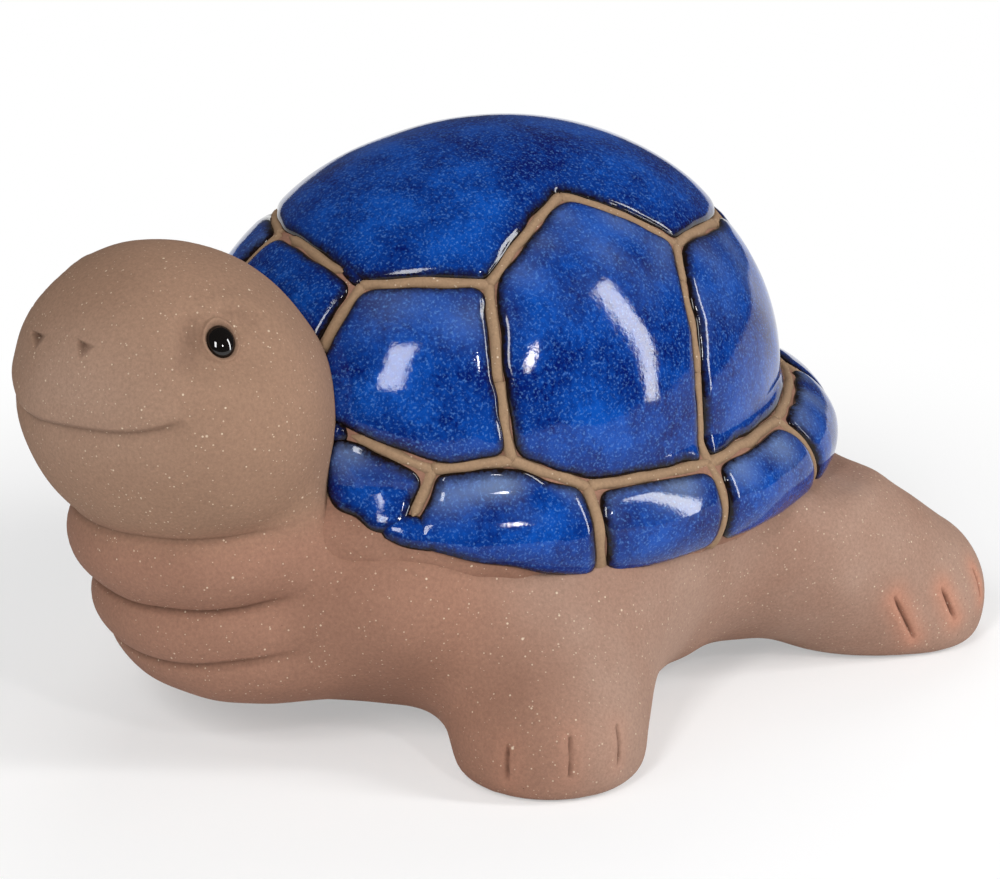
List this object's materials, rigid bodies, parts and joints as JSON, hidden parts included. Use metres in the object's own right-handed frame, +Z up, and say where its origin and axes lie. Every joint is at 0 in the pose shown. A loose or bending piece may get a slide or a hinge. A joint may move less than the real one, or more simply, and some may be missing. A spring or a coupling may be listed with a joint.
{
  "type": "ceramic tortoise figurine",
  "caption": "Stoneware tortoise ornament with a domed shell of glossy blue glazed scutes divided by bare clay lines, a round smiling head on a rolled neck, stubby legs and a short tail.",
  "frame": {"origin": "on the floor, under the middle of the figure's overall box", "axes": "-Y forward to the nose, +X to the tortoise's own left, +Z up"},
  "size_m": [0.2174, 0.293, 0.1671],
  "materials": {
    "body_clay": "matt",
    "head_clay": "matt",
    "scute_glaze": "gloss",
    "eye_glaze": "gloss"
  },
  "bodies": {
    "root": {"body": "body_clay", "carapace": "body_clay", "front_left_leg": "body_clay", "front_right_leg": "body_clay", "front_scute": "scute_glaze", "head": "head_clay", "left_costal_scute_1": "scute_glaze", "left_costal_scute_2": "scute_glaze", "left_costal_scute_3": "scute_glaze", "left_eye": "eye_glaze", "left_marginal_scute_1": "scute_glaze", "left_marginal_scute_2": "scute_glaze", "left_marginal_scute_3": "scute_glaze", "left_marginal_scute_4": "scute_glaze", "left_marginal_scute_5": "scute_glaze", "neck": "body_clay", "rear_left_leg": "body_clay", "rear_marginal_scute": "scute_glaze", "rear_right_leg": "body_clay", "rear_scute": "scute_glaze", "right_costal_scute_1": "scute_glaze", "right_costal_scute_2": "scute_glaze", "right_costal_scute_3": "scute_glaze", "right_eye": "eye_glaze", "right_marginal_scute_1": "scute_glaze", "right_marginal_scute_2": "scute_glaze", "right_marginal_scute_3": "scute_glaze", "right_marginal_scute_4": "scute_glaze", "right_marginal_scute_5": "scute_glaze", "tail": "body_clay", "top_scute": "scute_glaze"}
  },
  "joints": []
}
